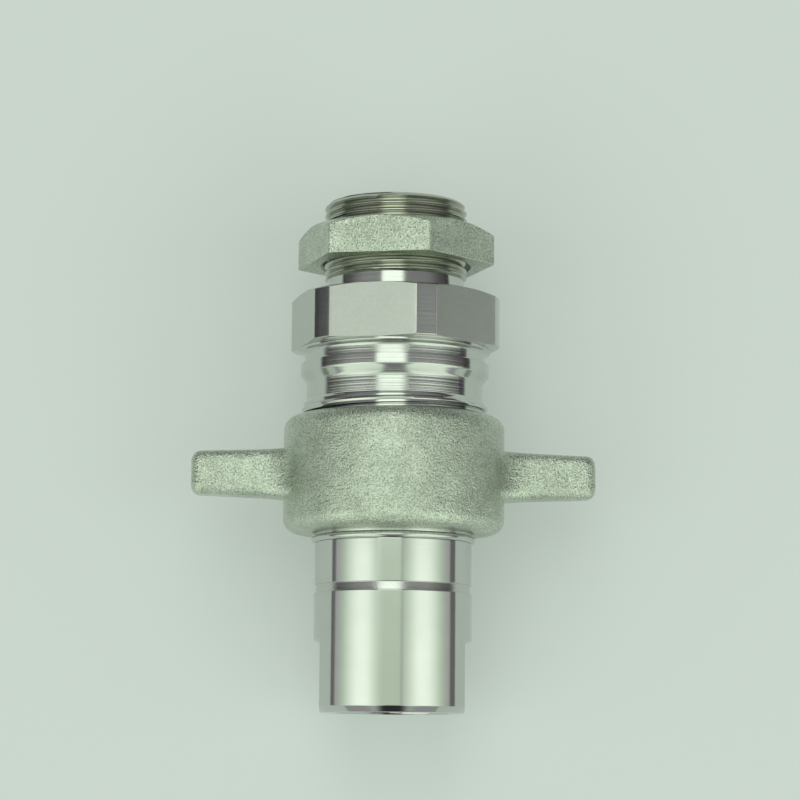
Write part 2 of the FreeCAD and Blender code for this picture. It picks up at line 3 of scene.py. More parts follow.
import bmesh
import bpy
import numpy as np
from mathutils import Matrix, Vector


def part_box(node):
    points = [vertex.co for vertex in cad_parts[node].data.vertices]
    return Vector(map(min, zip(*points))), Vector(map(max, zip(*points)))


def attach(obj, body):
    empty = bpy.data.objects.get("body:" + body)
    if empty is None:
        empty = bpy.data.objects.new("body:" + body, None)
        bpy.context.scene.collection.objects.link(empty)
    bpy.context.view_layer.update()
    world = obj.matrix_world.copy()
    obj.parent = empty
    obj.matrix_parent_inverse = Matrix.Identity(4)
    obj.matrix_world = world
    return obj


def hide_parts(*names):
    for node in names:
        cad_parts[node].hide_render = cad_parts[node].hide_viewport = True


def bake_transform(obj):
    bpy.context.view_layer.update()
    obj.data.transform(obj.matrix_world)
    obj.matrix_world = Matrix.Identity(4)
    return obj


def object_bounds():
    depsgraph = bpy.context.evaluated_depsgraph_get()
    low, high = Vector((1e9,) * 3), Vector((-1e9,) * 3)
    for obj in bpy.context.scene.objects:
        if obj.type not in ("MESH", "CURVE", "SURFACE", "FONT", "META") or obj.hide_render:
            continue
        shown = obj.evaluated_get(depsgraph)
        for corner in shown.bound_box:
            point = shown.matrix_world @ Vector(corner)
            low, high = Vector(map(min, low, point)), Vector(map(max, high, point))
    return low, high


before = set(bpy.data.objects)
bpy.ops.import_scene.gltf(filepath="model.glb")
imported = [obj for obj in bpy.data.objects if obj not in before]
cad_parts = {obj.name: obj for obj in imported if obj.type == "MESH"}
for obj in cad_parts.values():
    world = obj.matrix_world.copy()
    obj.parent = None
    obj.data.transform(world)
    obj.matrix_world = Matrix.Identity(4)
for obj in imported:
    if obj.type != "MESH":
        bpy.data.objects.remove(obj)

cad_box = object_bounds()


# The table and the light. The coupler lies on a pale matt table in a studio tent: white panels on
# both sides, a narrow strip of light beyond the lens with a dark room round it, a white screen
# behind the lens and a dim floor. The table also glows faintly in the backdrop's colour: painted
# light that fades the shadows on it and lights the coupler's underside. The lens looks almost
# straight down.


class Signal:
    """A socket of a node tree. Sums written on it add their Math nodes, so 1 - mask works."""

    def __init__(self, tree, socket=None):
        self.tree = tree
        self.socket = socket

    def add(self, kind, settings=None, out=0, **sockets):
        """Adds a node: settings first, then its sockets by name, or by number as _6."""
        made = self.tree.nodes.new(kind)
        for name, value in (settings or {}).items():
            if name == "stops":
                ramp = made.color_ramp.elements
                for number, (place, shade) in enumerate(value):
                    stop = ramp[number] if number < len(ramp) else ramp.new(place)
                    stop.position = place
                    stop.color = shade
            else:
                setattr(made, name, value)
        for name, value in sockets.items():
            key = int(name[1:]) if name[1:].isdigit() else name.replace("_", " ")
            if isinstance(value, Signal):
                self.tree.links.new(value.socket, made.inputs[key])
            else:
                made.inputs[key].default_value = value
        return Signal(self.tree, made.outputs[out]) if made.outputs else None

    def sum(self, operation, first, second=0.0):
        return self.add("ShaderNodeMath", {"operation": operation}, _0=first, _1=second)

    def __add__(self, other):
        return self.sum("ADD", self, other)

    def __sub__(self, other):
        return self.sum("SUBTRACT", self, other)

    def __rsub__(self, other):
        return self.sum("SUBTRACT", other, self)

    def __mul__(self, other):
        return self.sum("MULTIPLY", self, other)

    def __abs__(self):
        return self.sum("ABSOLUTE", self)

    __radd__ = __add__
    __rmul__ = __mul__

    def rise(self, low, high):
        """0 below low, 1 above high and a smooth slope between them."""
        return self.add("ShaderNodeMapRange", {"interpolation_type": "SMOOTHSTEP"},
                        Value=self, From_Min=low, From_Max=high)

    def colour(self, dark, light):
        """A colour that goes from dark to light as this signal goes from 0 to 1."""
        return self.add("ShaderNodeMix", {"data_type": "RGBA"}, out=2,
                        _0=self, _6=(*dark, 1), _7=(*light, 1))


tent = bpy.data.worlds.new("studio_tent")
bpy.context.scene.world = tent
tent.use_nodes = True
tent.node_tree.nodes.clear()
net = Signal(tent.node_tree)
ray = net.add("ShaderNodeTexCoord", out="Generated")
ray_x = net.add("ShaderNodeSeparateXYZ", out="X", Vector=ray)
ray_y = net.add("ShaderNodeSeparateXYZ", out="Y", Vector=ray)
ray_z = net.add("ShaderNodeSeparateXYZ", out="Z", Vector=ray)

# A ray's direction in degrees: sideways from straight up towards +X, along towards the
# bulkhead end, and height above the table. The masks are 1 within their part of the tent.
sideways = net.sum("ARCTAN2", ray_x, ray_z) * math.degrees(1)
along = net.sum("ARCSINE", ray_y) * math.degrees(1)
height = net.sum("ARCSINE", ray_z) * math.degrees(1)
turned_out = abs(sideways)
beyond = along.rise(4.5, 7.0)
behind = 1 - along.rise(-22, -12)
low_behind = 1 - along.rise(-55, -12)
slit = 1 - abs(sideways - 13.5).rise(0.8, 3.2)
strip = (1 - abs(sideways + 4.6).rise(16.6, 19.0)) * (1 - along.rise(34, 62))
above_floor = height.rise(-4, 0)
before_end = along.rise(-84, -70)

# How bright each part is. The panels are brightest 42 degrees out and fade to the sides, with
# a thin slit between two of them; the screen has a darker middle, which deepens lower down.
panels = 0.80 + 0.72 * turned_out.rise(12, 42) - 1.0 * turned_out.rise(46, 92) - 0.2 * slit
room = 0.245 - 0.18 * turned_out.rise(50, 88)
screen = 0.8 - 0.6 * low_behind + (0.4 + 0.6 * low_behind) * turned_out.rise(20, 28)
level = (panels * (1 - beyond) * (1 - behind) + screen * behind
         + (room + 1.5 * strip) * beyond)
level = level * (0.3 + 0.7 * above_floor) * before_end + 0.035

backdrop = (0.571, 0.658, 0.591, 1)
tent_tint = net.add("ShaderNodeValToRGB", {"stops": [
    (0.30, (0.97, 0.97, 0.99, 1)), (0.48, (0.83, 1.0, 0.80, 1)), (1.0, (0.91, 1.0, 0.89, 1))]},
    _0=level * 0.6)
tent_light = net.add("ShaderNodeBackground", Color=tent_tint, Strength=level)
tent_seen = net.add("ShaderNodeBackground", Color=backdrop, Strength=1.0)
lens_ray = net.add("ShaderNodeLightPath", out="Is Camera Ray")
tent_both = net.add("ShaderNodeMixShader", _0=lens_ray, _1=tent_light, _2=tent_seen)
net.add("ShaderNodeOutputWorld", Surface=tent_both)

left, right, near, far = -0.27, 0.21, -0.24, 0.42
sheet_top = round(cad_box[0].z, 5) - 0.00001
sheet_mesh = bpy.data.meshes.new("sheet")
sheet_mesh.from_pydata([(x, y, sheet_top) for x, y in (
    (left, near), (right, near), (right, far), (left, far))], [], [(0, 1, 2, 3)])
sheet = bpy.data.objects.new("sheet", sheet_mesh)
bpy.context.collection.objects.link(sheet)
sheet_matt = bpy.data.materials.new("sheet_matt")
sheet_matt.use_nodes = True
sheet_shader = sheet_matt.node_tree.nodes["Principled BSDF"]
sheet_shader.inputs["Base Color"].default_value = (0.559, 0.569, 0.581, 1)
# The sheet glows faintly in the backdrop's colour: painted fill light that fades its shadows.
sheet_shader.inputs["Emission Color"].default_value = backdrop
sheet_shader.inputs["Emission Strength"].default_value = 0.3
sheet_shader.inputs["Roughness"].default_value = 0.9
sheet_shader.inputs["Specular IOR Level"].default_value = 0.1
sheet_mesh.materials.append(sheet_matt)

# The camera stands 0.76 m over the coupler's axis, 8 degrees off square, and leans by half
# a degree.
lens_x = 0.00159
eye = np.array([lens_x, -0.1351, 0.7587])
look = np.array([lens_x, -0.0298, 0.0]) - eye
look /= np.linalg.norm(look)
lean = math.radians(0.47)
level_right = np.array([1.0, 0.0, 0.0])
level_up = np.cross(level_right, look)
side = math.cos(lean) * level_right + math.sin(lean) * level_up
up = np.cross(side, look)
lens = bpy.data.objects.new("lens", bpy.data.cameras.new("lens"))
bpy.context.collection.objects.link(lens)
lens.data.lens = 119.25
lens.data.sensor_width = 36
lens.data.clip_start = 0.01
lens.matrix_world = Matrix([[side[i], up[i], -look[i], eye[i]] for i in range(3)] + [[0, 0, 0, 1]])
bpy.context.scene.camera = lens
bpy.context.scene.view_settings.view_transform = "Standard"


# The bulkhead half's body. Hexagon bar, turned on a lathe: bulkhead thread, undercut neck,
# hexagon with its corners turned down, collar, groove, union thread and nose, and the
# stepped bore with the pipe thread. Bright zinc over the turned and the drawn faces.


def extent(node):
    """A round node's outer radius and its lowest and highest y, in millimetres to 0.01."""
    low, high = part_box(node)
    return [round(1000 * size, 2) for size in (max(high.x, high.z), low.y, high.y)]


def turn_angles(marks=(), step=3.0):
    """Angles once round the axis, in radians: even steps, closer beside each marked degree."""
    even = np.arange(0.0, 360.0, step)
    marks = np.asarray(marks, float)
    if len(marks):
        apart = np.abs((even[:, None] - marks + 180) % 360 - 180).min(axis=1)
        close = marks[:, None] + np.array([-1.1, -0.45, -0.15, 0.15, 0.45, 1.1])
        even = np.concatenate([even[apart > 1.4], close.ravel() % 360])
    even = np.unique(np.round(even, 4))
    return np.radians(np.append(even, even[0] + 360))


def turned(corners, angles):
    """Rows of a turned profile from (radius, y, edge) corners in millimetres, radius and y
    being a number or one value per angle. A corner with an edge gets six rows on a curve:
    corner + edge * ((1 - t) squared * way back + t squared * way on) for t 0, 1/3, 2/3 and 1,
    and a support row 2.2 edges off on both sides. A corner of edge 0 stays one row."""
    points = np.array([[np.broadcast_to(r, angles.shape), np.broadcast_to(y, angles.shape)]
                       for r, y, _ in corners]).transpose(0, 2, 1)
    edge = np.array([edge for _, _, edge in corners], float)[:, None, None]
    back = np.roll(points, 1, axis=0) - points
    onward = np.roll(points, -1, axis=0) - points
    long_back = np.linalg.norm(back, axis=-1, keepdims=True)
    long_on = np.linalg.norm(onward, axis=-1, keepdims=True)
    held = np.minimum(edge, np.minimum(long_back, long_on) / 5)
    back = back / np.maximum(long_back, 1e-9)
    onward = onward / np.maximum(long_on, 1e-9)
    back_share = np.array([2.2, 1, 4 / 9, 1 / 9, 0, 0])[:, None, None]
    on_share = np.array([0, 0, 1 / 9, 4 / 9, 1, 2.2])[:, None, None]
    rows = points[:, None] + held[:, None] * (back_share * back[:, None]
                                              + on_share * onward[:, None])
    kept = (edge[:, :, 0] > 0) | (np.arange(6) == 0)
    return rows[kept]


def groove(wall_r, floor_r, first_y, last_y, edge=0.1):
    """The corners of a square groove, in the order in which the profile comes to them."""
    return [(wall_r, first_y, edge), (floor_r, first_y, edge), (floor_r, last_y, edge),
            (wall_r, last_y, edge)]


def row_at(profile, corner):
    """The number of the profile's row that begins at this (radius, y) corner."""
    return int(np.argmin(np.abs(profile[:, 0] - corner).sum(axis=-1)))


def screw(angles, low, high, pitch, form, slopes=(1.0, 1.0), outside=True):
    """Rows of a right-hand thread between low = (radius, y) and high: each point (share,
    radius) of the form lies at y = start + (turn number + share + turned share - 1) * pitch,
    and its radius stays under (inside a hole: over) a cone from each end. The root of an
    outside thread sinks slowly below the radius it starts from."""
    turned_share = (angles - angles[0]) / (2 * math.pi)
    turns = np.arange(-1, math.ceil((high[1] - low[1]) / pitch) + 2)
    shares = np.array([share for share, _ in form])
    steps = (turns[:, None] + shares).ravel()
    radius = np.tile([r for _, r in form], len(turns))[:, None] + 0 * angles
    y = low[1] + (steps[:, None] + turned_share - 1) * pitch
    low_cone = slopes[0] * (y - low[1])
    high_cone = slopes[1] * (high[1] - y)
    if outside:
        radius = np.minimum(radius, np.minimum(low[0] + low_cone, high[0] + high_cone))
        radius = np.maximum(radius, low[0] - 0.2 * (y - low[1]))
    else:
        radius = np.maximum(radius, np.maximum(low[0] - low_cone, high[0] - high_cone))
    radius = np.where(y <= low[1], low[0], np.where(y >= high[1], high[0], radius))
    return np.stack([radius, np.clip(y, low[1], high[1])], axis=-1)


def tapped(angles, low, high, pitch, root, crest):
    """Rows of a thread cut in a hole, with a flat root and a rounded crest."""
    return screw(angles, low, high, pitch, [
        (0.0, root), (0.08, root), (0.42, crest + 0.05), (0.46, crest), (0.62, crest),
        (0.66, crest + 0.05)], outside=False)


def pipe_thread(angles, low, high):
    """Rows of the one-inch pipe thread that both ports have, 11 turns to the inch."""
    return tapped(angles, low, high, 2.309, 16.35, 15.15)


def revolve(profile, angles):
    """Points (r sin u, y, r cos u) of a profile whose rows may change with the angle u."""
    return np.stack([profile[..., 0] * np.sin(angles), profile[..., 1],
                     profile[..., 0] * np.cos(angles)], axis=-1)


def skin(name, sheets, marks=None, crease=38.0):
    """A smooth-shaded piece from closed sheets of points in millimetres: each row joins the
    next and the last joins the first, and meeting points are welded. Marks are named values
    per point that the materials read."""
    points, faces, start = [], [], 0
    for sheet_points in sheets:
        rows, columns = sheet_points.shape[:2]
        index = start + np.arange(rows * columns).reshape(rows, columns)
        onward = np.roll(index, -1, axis=0)
        faces.append(np.stack([index[:, :-1], index[:, 1:], onward[:, 1:], onward[:, :-1]],
                              axis=-1).reshape(-1, 4))
        points.append(sheet_points.reshape(-1, 3))
        start += rows * columns
    mesh = bpy.data.meshes.new(name)
    mesh.from_pydata(np.concatenate(points) / 1000, [], np.concatenate(faces).tolist())
    for mark, values in (marks or {}).items():
        layer = mesh.attributes.new(mark, "FLOAT", "POINT")
        layer.data.foreach_set("value", np.ravel(values).astype(np.float32))
    work = bmesh.new()
    work.from_mesh(mesh)
    bmesh.ops.remove_doubles(work, verts=work.verts, dist=1.5e-6)
    bmesh.ops.dissolve_degenerate(work, edges=work.edges, dist=1e-7)
    bmesh.ops.delete(work, geom=[e for e in work.edges if not e.link_faces], context="EDGES")
    bmesh.ops.recalc_face_normals(work, faces=work.faces)
    work.to_mesh(mesh)
    work.free()
    mesh.shade_smooth()
    mesh.set_sharp_from_angle(angle=math.radians(crease))
    piece = bpy.data.objects.new(name, mesh)
    bpy.context.collection.objects.link(piece)
    return piece


def dress(piece, node, material):
    """Puts a piece in place of its node and its material."""
    piece.data.materials.clear()
    piece.data.materials.append(material)
    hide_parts(node)


def seat(piece, body, node, material):
    """Dresses a piece that moves with one body."""
    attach(piece, body)
    dress(piece, node, material)


def new_material(name):
    """A material with its shader, and Object coordinates in millimetres to build on."""
    material = bpy.data.materials.new(name)
    material.use_nodes = True
    shader = material.node_tree.nodes["Principled BSDF"]
    net = Signal(material.node_tree)
    place = net.add("ShaderNodeTexCoord", out="Object")
    place = net.add("ShaderNodeVectorMath", {"operation": "SCALE"}, _0=place, Scale=1000.0)
    return material, shader, net, place


def feed(net, shader, **sockets):
    """Gives the shader's sockets, named with _ for a space, a signal or a constant."""
    for name, value in sockets.items():
        socket = shader.inputs[name.replace("_", " ")]
        if isinstance(value, Signal):
            net.tree.links.new(value.socket, socket)
        else:
            socket.default_value = value


def tool_marks(net, place, size):
    """Turning marks: noise along the axis only, so that it runs round as fine rings."""
    y = net.add("ShaderNodeSeparateXYZ", out="Y", Vector=place)
    return net.add("ShaderNodeTexNoise", {"noise_dimensions": "1D"}, W=y, Scale=1 / size,
                   Detail=4.0, Roughness=0.65)


def grains(net, place, size, detail=2.0):
    """Noise in all three directions, with grains of about this size."""
    return net.add("ShaderNodeTexNoise", Vector=place, Scale=1 / size, Detail=detail,
                   Roughness=0.6)


# Marks on the points: drawn is 1 on hexagon faces and milled flats and 0.4 in the joint, polished
# on the smooth barrel. A third mark lies on the bulkhead thread, near 1 in its roots and 0.3 on
# its crests: painted shade, which turns the base colour a dark yellow-grey there and adds
# roughness. The rings are deepest in the two grooves.
zinc_turned, shader, net, place = new_material("zinc_turned")
marks_round = tool_marks(net, place, 0.32)
broad_rings = tool_marks(net, place, 1.9)
groove_rings = tool_marks(net, place, 0.75)
cloud = grains(net, place, 9.0)
grit = grains(net, place, 0.42, 3.0)
drawn = net.add("ShaderNodeAttribute", {"attribute_name": "drawn"}, out="Fac")
polished = net.add("ShaderNodeAttribute", {"attribute_name": "polished"}, out="Fac")
root_shade = net.add("ShaderNodeAttribute", {"attribute_name": "root_shade"}, out="Fac")
place_y = net.add("ShaderNodeSeparateXYZ", out="Y", Vector=place)
in_groove = (place_y.rise(-30.7, -30.4) * (1 - place_y.rise(-25.6, -25.3))
             + place_y.rise(-20.1, -19.9) * (1 - place_y.rise(-17.6, -17.2)))
ringed = (1 - drawn) * (1 - 0.85 * polished)
relief = ((marks_round * 0.9 + broad_rings * 1.1 + groove_rings * in_groove * 4.0) * ringed
          + grit * drawn * 7.0)
bump = net.add("ShaderNodeBump", Height=relief, Distance=0.00001, Strength=1.0)
bright = (cloud * 0.3 + marks_round * ringed * 0.45 + grit * drawn * 1.3 + (1 - ringed) * 0.22
          + 0.125 - drawn * 0.6).rise(0.3, 0.7).colour((0.55, 0.56, 0.535), (0.61, 0.62, 0.595))
# Where the thread mark is, the base colour goes to a dark yellow-grey: painted shade in the
# thread's roots.
feed(net, shader, Metallic=1.0, Normal=bump,
     Base_Color=net.add("ShaderNodeMix", {"data_type": "RGBA"}, out=2, _0=root_shade, _6=bright,
                        _7=(0.37, 0.385, 0.305, 1)),
     Roughness=0.09 + 0.08 * broad_rings * ringed + drawn * (0.18 + 0.2 * grit) + root_shade * 0.12)


def hexagon(angles, corner_turn, flat, corner_r, blend):
    """A hexagon's radius at each angle: flat / cos(angle from the face's middle), or corner_r
    where that is smaller, with the corner between them rounded over by blend. Flat is half
    the size across flats, and corner_turn the angle of one corner in degrees."""
    off_face = np.radians((np.degrees(angles) - corner_turn) % 60 - 30)
    return least(flat / np.cos(off_face), corner_r, blend)


def least(first, second, blend):
    """The smaller of two: -blend * log(exp(-first / blend) + exp(-second / blend))."""
    return -blend * np.logaddexp(-first / blend, -second / blend)


_, nose_y, front_y = extent("male_body")
_, _, seat_y = extent("socket_body")
_, guide_y, _ = extent("poppet_guide")
_, snap_low, snap_high = extent("guide_snap_ring")

# The hexagon's shoulder is at y 0. Its corners are turned down to hex_turned, so that a face
# ends half_face degrees from its middle, and its front bevel starts at bevel_r.
hex_turn, hex_flat, hex_turned, bevel_r = 16.7, 27.75, 30.44, 27.9
half_face = math.degrees(math.acos(hex_flat / hex_turned))
angles = turn_angles([hex_turn + 30 + 60 * number + side * half_face
                      for number in range(6) for side in (-1, 1)])
hex_r = hexagon(angles, hex_turn, hex_flat, hex_turned, 0.06)
front_fall = np.maximum((hex_r - bevel_r) * 0.36, 0.08)
back_y = -15.2 - (hex_turned - hex_r) * 0.09

# Radii along the body, and the ends of its three threads as (radius, y).
neck_r, rim_r, step_r, collar_r, groove_r, nose_r = 19.85, 27.6, 26.0, 27.2, 25.4, 17.5
mouth_r, bore_r, guide_r, snap_r = 11.0, 13.5, 14.5, 15.75
fine_low, fine_high, fine_pitch = (neck_r, 4.5), (19.55, front_y), 2.117
union_low, union_high, union_pitch = (25.95, seat_y), (groove_r, -30.57), 3.0
pipe_deep_r, pipe_mouth_r, pipe_depth = 15.15, 16.75, 17.5
port_low, port_high = (pipe_deep_r, front_y - pipe_depth), (pipe_mouth_r, front_y)
outline = turned([
    (*port_high, 0), (*fine_high, 0), (*fine_low, 0), (neck_r, 0.0, 0.35),
    (np.minimum(hex_r - 0.15, bevel_r), 0.0, 0.12), (hex_r, -front_fall, 0.12),
    (hex_r, back_y, 0.12), (rim_r - 0.1, -15.55, 0.05), (rim_r, -15.7, 0.1),
    (rim_r, -16.3, 0.15), (26.75, -16.55, 0.2), (26.2, -17.0, 0.2), (step_r, -17.5, 0.2),
    (step_r, -19.97, 0.25), (collar_r, -19.97, 0.2), (collar_r, -23.17, 0.25),
    (groove_r, -25.47, 0.4), (*union_high, 0), (*union_low, 0),
    (nose_r, seat_y, 0.3), (nose_r, nose_y + 0.8, 0.2), (nose_r - 0.8, nose_y, 0.25),
    (mouth_r, nose_y, 0.2), (mouth_r, nose_y + 3.3, 0.2), (bore_r, nose_y + 5.8, 0.3),
    (bore_r, guide_y, 0.2), (guide_r, guide_y, 0.15),
    *groove(guide_r, snap_r, snap_low, snap_high, 0.15),
    (guide_r, port_low[1], 0.15), (*port_low, 0)], angles)
fine_thread = screw(angles, fine_low, fine_high, fine_pitch, [
    (0.28, 20.58), (0.32, 20.65), (0.42, 20.65), (0.46, 20.58), (0.75, 19.6), (0.97, 19.6)],
    (1.3, 1.0))
union_thread = screw(angles, union_low, union_high, union_pitch, [
    (0.04, 26.8), (0.075, 26.9), (0.25, 26.9), (0.29, 26.84), (0.33, 26.9), (0.505, 26.9),
    (0.54, 26.8), (0.74, 26.0), (0.84, 26.0)],
    (1.0, 0.79))
neck_row = row_at(outline, fine_low)
union_row = row_at(outline, union_low)
profile = np.concatenate([
    outline[:1], fine_thread[::-1], outline[neck_row + 1:union_row], union_thread[::-1],
    outline[union_row + 1:-1], pipe_thread(angles, port_low, port_high)])
radius, y = profile[..., 0], profile[..., 1]
on_flat = (abs(radius - hex_r) < 0.03) & (hex_r < hex_turned - 0.03) & (y < 0.1) & (y > -15.5)
in_thread = (radius > 18) & (y > fine_low[1] + 0.1) & (y < front_y - 0.1)
# The thread mark is painted shade, strongest in the bulkhead thread's roots and weakest on its
# crests.
male_body = skin("male_body_skin", [revolve(profile, angles)], {
    "drawn": on_flat, "root_shade": in_thread * np.clip(0.95 - 0.6 * (radius - 19.6), 0.3, 1)})
seat(male_body, "panel_half", "male_body", zinc_turned)


# The jam nut. A forged hexagon nut, shot-blasted, tapped and zinc plated, bevelled on its
# outer face only. It clamps the panel against the hexagon of the body.

zinc_forged, shader, net, place = new_material("zinc_forged")
dents = net.add("ShaderNodeTexVoronoi", {"feature": "SMOOTH_F1"}, out="Distance",
                Vector=place, Scale=1 / 0.5, Smoothness=0.4)
blast = grains(net, place, 0.42, 1.0)
lumps = grains(net, place, 2.6, 2.0)
cloud = grains(net, place, 7.0)
bump = net.add("ShaderNodeBump", Height=dents * 1.5 + blast * 3.0 + lumps * 1.6,
               Distance=0.000075, Strength=1.0)
feed(net, shader, Metallic=1.0, Normal=bump,
     Base_Color=(cloud * 0.25 + blast * 0.75).rise(0.32, 0.68).colour(
         (0.38, 0.415, 0.35), (0.715, 0.78, 0.67)),
     Roughness=0.2 + 0.17 * blast)

_, jam_low, jam_high = extent("bulkhead_jam_nut")
jam_turn, jam_flat, jam_corner, jam_bevel_r, jam_bore_r = 19.3, 25.2, 28.95, 24.8, 21.9
jam_angles = turn_angles([jam_turn + 60 * number + side for number in range(6)
                          for side in (-0.6, 0.6)])
jam_r = hexagon(jam_angles, jam_turn, jam_flat, jam_corner, 0.02)
jam_top = jam_high - np.maximum(jam_r - jam_bevel_r, 0.3) * 0.53
outline = turned([
    (jam_r, jam_low, 0.15), (jam_r, jam_top, 0.2),
    (np.minimum(jam_bevel_r, jam_r - 0.3), jam_high, 0.25),
    (jam_bore_r, jam_high, 0), (jam_bore_r, jam_low, 0)], jam_angles)
nut_thread = tapped(jam_angles, (jam_bore_r, jam_low), (jam_bore_r, jam_high), fine_pitch,
                    21.5, 20.7)
profile = np.concatenate([outline[:-2], nut_thread[::-1]])
jam_nut = skin("jam_nut_skin", [revolve(profile, jam_angles)])
seat(jam_nut, "jam_nut", "bulkhead_jam_nut", zinc_forged)


# The bulkhead half's valve. A turned steel plug with a moulded seal and a long stem, closed
# by a spring; the stem slides in a three-armed guide, which a snap ring holds in the bore.

steel_turned, shader, net, place = new_material("steel_turned")
marks_round = tool_marks(net, place, 0.28)
cloud = grains(net, place, 5.0)
bump = net.add("ShaderNodeBump", Height=marks_round, Distance=0.00001, Strength=0.8)
feed(net, shader, Metallic=1.0, Normal=bump,
     Base_Color=(cloud * 0.6 + marks_round * 0.4).rise(0.3, 0.7).colour(
         (0.50, 0.49, 0.47), (0.60, 0.59, 0.57)),
     Roughness=0.22 + 0.12 * marks_round)

spring_wire, shader, net, place = new_material("spring_wire")
draw_lines = grains(net, place, 0.35, 3.0)
bump = net.add("ShaderNodeBump", Height=draw_lines, Distance=0.00001, Strength=0.7)
feed(net, shader, Metallic=1.0, Normal=bump,
     Base_Color=draw_lines.rise(0.3, 0.7).colour((0.33, 0.33, 0.34), (0.46, 0.46, 0.47)),
     Roughness=0.26 + 0.14 * draw_lines)

seal_rubber, shader, net, place = new_material("seal_rubber")
skin_grain = grains(net, place, 0.25, 3.0)
bump = net.add("ShaderNodeBump", Height=skin_grain, Distance=0.00001, Strength=0.8)
feed(net, shader, Metallic=0.0, Normal=bump,
     Base_Color=skin_grain.rise(0.3, 0.7).colour((0.012, 0.012, 0.013), (0.024, 0.024, 0.025)),
     Roughness=0.42 + 0.2 * skin_grain)

plain_angles = turn_angles()


def turned_piece(name, corners, body, node, material):
    """A plain turned piece: (radius, y, edge) corners carried round the axis."""
    piece = skin(name, [revolve(turned(corners, plain_angles), plain_angles)])
    seat(piece, body, node, material)


def plain_ring(name, depth, edges, body, node, material):
    """A turned ring that fills its node's box: depth is its size across, and edges are those
    of its inner and outer corners."""
    outer_r, low, high = extent(node)
    inner_edge, outer_edge = edges
    turned_piece(name, [
        (outer_r - depth, low, inner_edge), (outer_r, low, outer_edge),
        (outer_r, high, outer_edge), (outer_r - depth, high, inner_edge)],
        body, node, material)


def sealed_head(head_r, face_y, first_y, last_y):
    """A flat face with a chamfer of 0.4 and, behind it, a seal's groove 1.6 deep."""
    return [(0, face_y, 0), (head_r - 0.4, face_y, 0.12),
            (head_r, face_y + math.copysign(0.4, first_y - face_y), 0.12),
            *groove(head_r, head_r - 1.6, first_y, last_y, 0.05)]


def wire_sheet(angle, mean_r, wire_r, y, step, low, high):
    """Points of round wire at angle u: radius = mean + wire cos v, y + wire sin v, ground
    flat at low and high. Where wire_r is 0 it closes to a point."""
    v = np.radians(np.arange(0, 361, step))
    radius = mean_r + wire_r * np.cos(v)
    y = np.clip(y + wire_r * np.sin(v), low, high)
    return np.stack([radius * np.sin(angle), y, radius * np.cos(angle)], axis=-1)


def coil(name, turns, node):
    """A spring of 2 mm wire that fills its node's box: at angle 2 pi times the turn number it
    climbs slowly over the first and last turn and evenly between, and its ends are flat."""
    wire_r = 1.0
    outer_r, low, high = extent(node)
    turn = np.linspace(0, turns, int(turns * 40) + 1)[:, None]
    height = np.interp(turn, [0, 1, turns - 1, turns],
                       [low + 0.5 * wire_r, low + 2.2 * wire_r,
                        high - 2.2 * wire_r, high - 0.5 * wire_r])
    width = np.where((turn == 0) | (turn == turns), 0.0, wire_r)
    points = wire_sheet(2 * math.pi * turn, outer_r - wire_r, width, height, 30, low, high)
    piece = skin(name, [points], crease=50)
    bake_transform(piece)
    dress(piece, node, spring_wire)


def keep_node(node, material):
    """Gives a node that stays as the CAD made it the scene's material."""
    for place_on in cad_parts[node].material_slots:
        place_on.material = material


poppet_r, face_y, stem_end = extent("male_poppet")
_, seal_low, seal_high = extent("poppet_seal")
_, flange_y, _ = extent("poppet_spring")
stem_r, pilot_r = 4.0, 7.2
turned_piece("poppet_skin", [
    *sealed_head(10.9, face_y, seal_low, seal_high), (10.9, -47.47, 0.1),
    (poppet_r, -46.67, 0.12), (poppet_r, flange_y, 0.3), (pilot_r, flange_y, 0.15),
    (pilot_r, flange_y + 1.2, 0.15), (stem_r, flange_y + 2.2, 0.3),
    (stem_r, stem_end - 0.4, 0.1), (stem_r - 0.4, stem_end, 0.1), (0, stem_end, 0)],
    "poppet", "male_poppet", steel_turned)
plain_ring("poppet_seal_skin", 1.67, (0.1, 0.25), "poppet", "poppet_seal",
           seal_rubber)
coil("poppet_spring_coil", 9, "poppet_spring")
keep_node("poppet_guide", steel_turned)
keep_node("guide_snap_ring", spring_wire)


# The socket half's body. Bar turned bright, with a flange for the wing nut inside it, a
# groove for the wire ring behind the nut, and a spigot that the adapter is screwed on.
# Three moulded rubber rings and two cut plastic ones lie in its seal grooves.

flange_r, spigot_y, mouth_y = extent("socket_body")
_, _, joint_y = extent("hose_adapter")
wire_outer, wire_low, wire_high = extent("nut_retaining_wire")
adapter_seal_r, adapter_seal_low, adapter_seal_high = extent("adapter_o_ring")
seal_r, _, mouth_seal_high = extent("mouth_o_ring")
_, mouth_seal_low, _ = extent("mouth_backup_ring")
_, _, sleeve_seal_high = extent("sleeve_o_ring")
_, sleeve_seal_low, _ = extent("sleeve_backup_ring")
bore_r, barrel_r, spigot_r, flange_back = 17.55, 22.5, 20.2, -54.07
outline = turned([
    (bore_r, mouth_y, 0.2), (flange_r - 0.4, mouth_y, 0.12), (flange_r, mouth_y - 0.4, 0.12),
    (flange_r, flange_back, 0.2), (barrel_r, flange_back, 0.3),
    *groove(barrel_r, wire_outer - 2, wire_high, wire_low),
    (barrel_r - 0.05, -83.55, 0.12), (21.9, -83.6, 0.12), (22.05, joint_y, 0),
    (spigot_r, joint_y, 0.2),
    *groove(spigot_r, adapter_seal_r - 2, adapter_seal_high, adapter_seal_low),
    (spigot_r, spigot_y + 0.4, 0.1), (spigot_r - 0.4, spigot_y, 0.1), (bore_r, spigot_y, 0.2),
    *groove(bore_r, seal_r, sleeve_seal_low, sleeve_seal_high),
    *groove(bore_r, seal_r, mouth_seal_low, mouth_seal_high)], plain_angles)
in_joint = (outline[..., 0] < 22.2) & (outline[..., 1] < -83.5)
socket_body = skin("socket_body_skin", [revolve(outline, plain_angles)],
                   {"drawn": 0.4 * in_joint, "polished": 1 - in_joint})
seat(socket_body, "socket_half", "socket_body", zinc_turned)


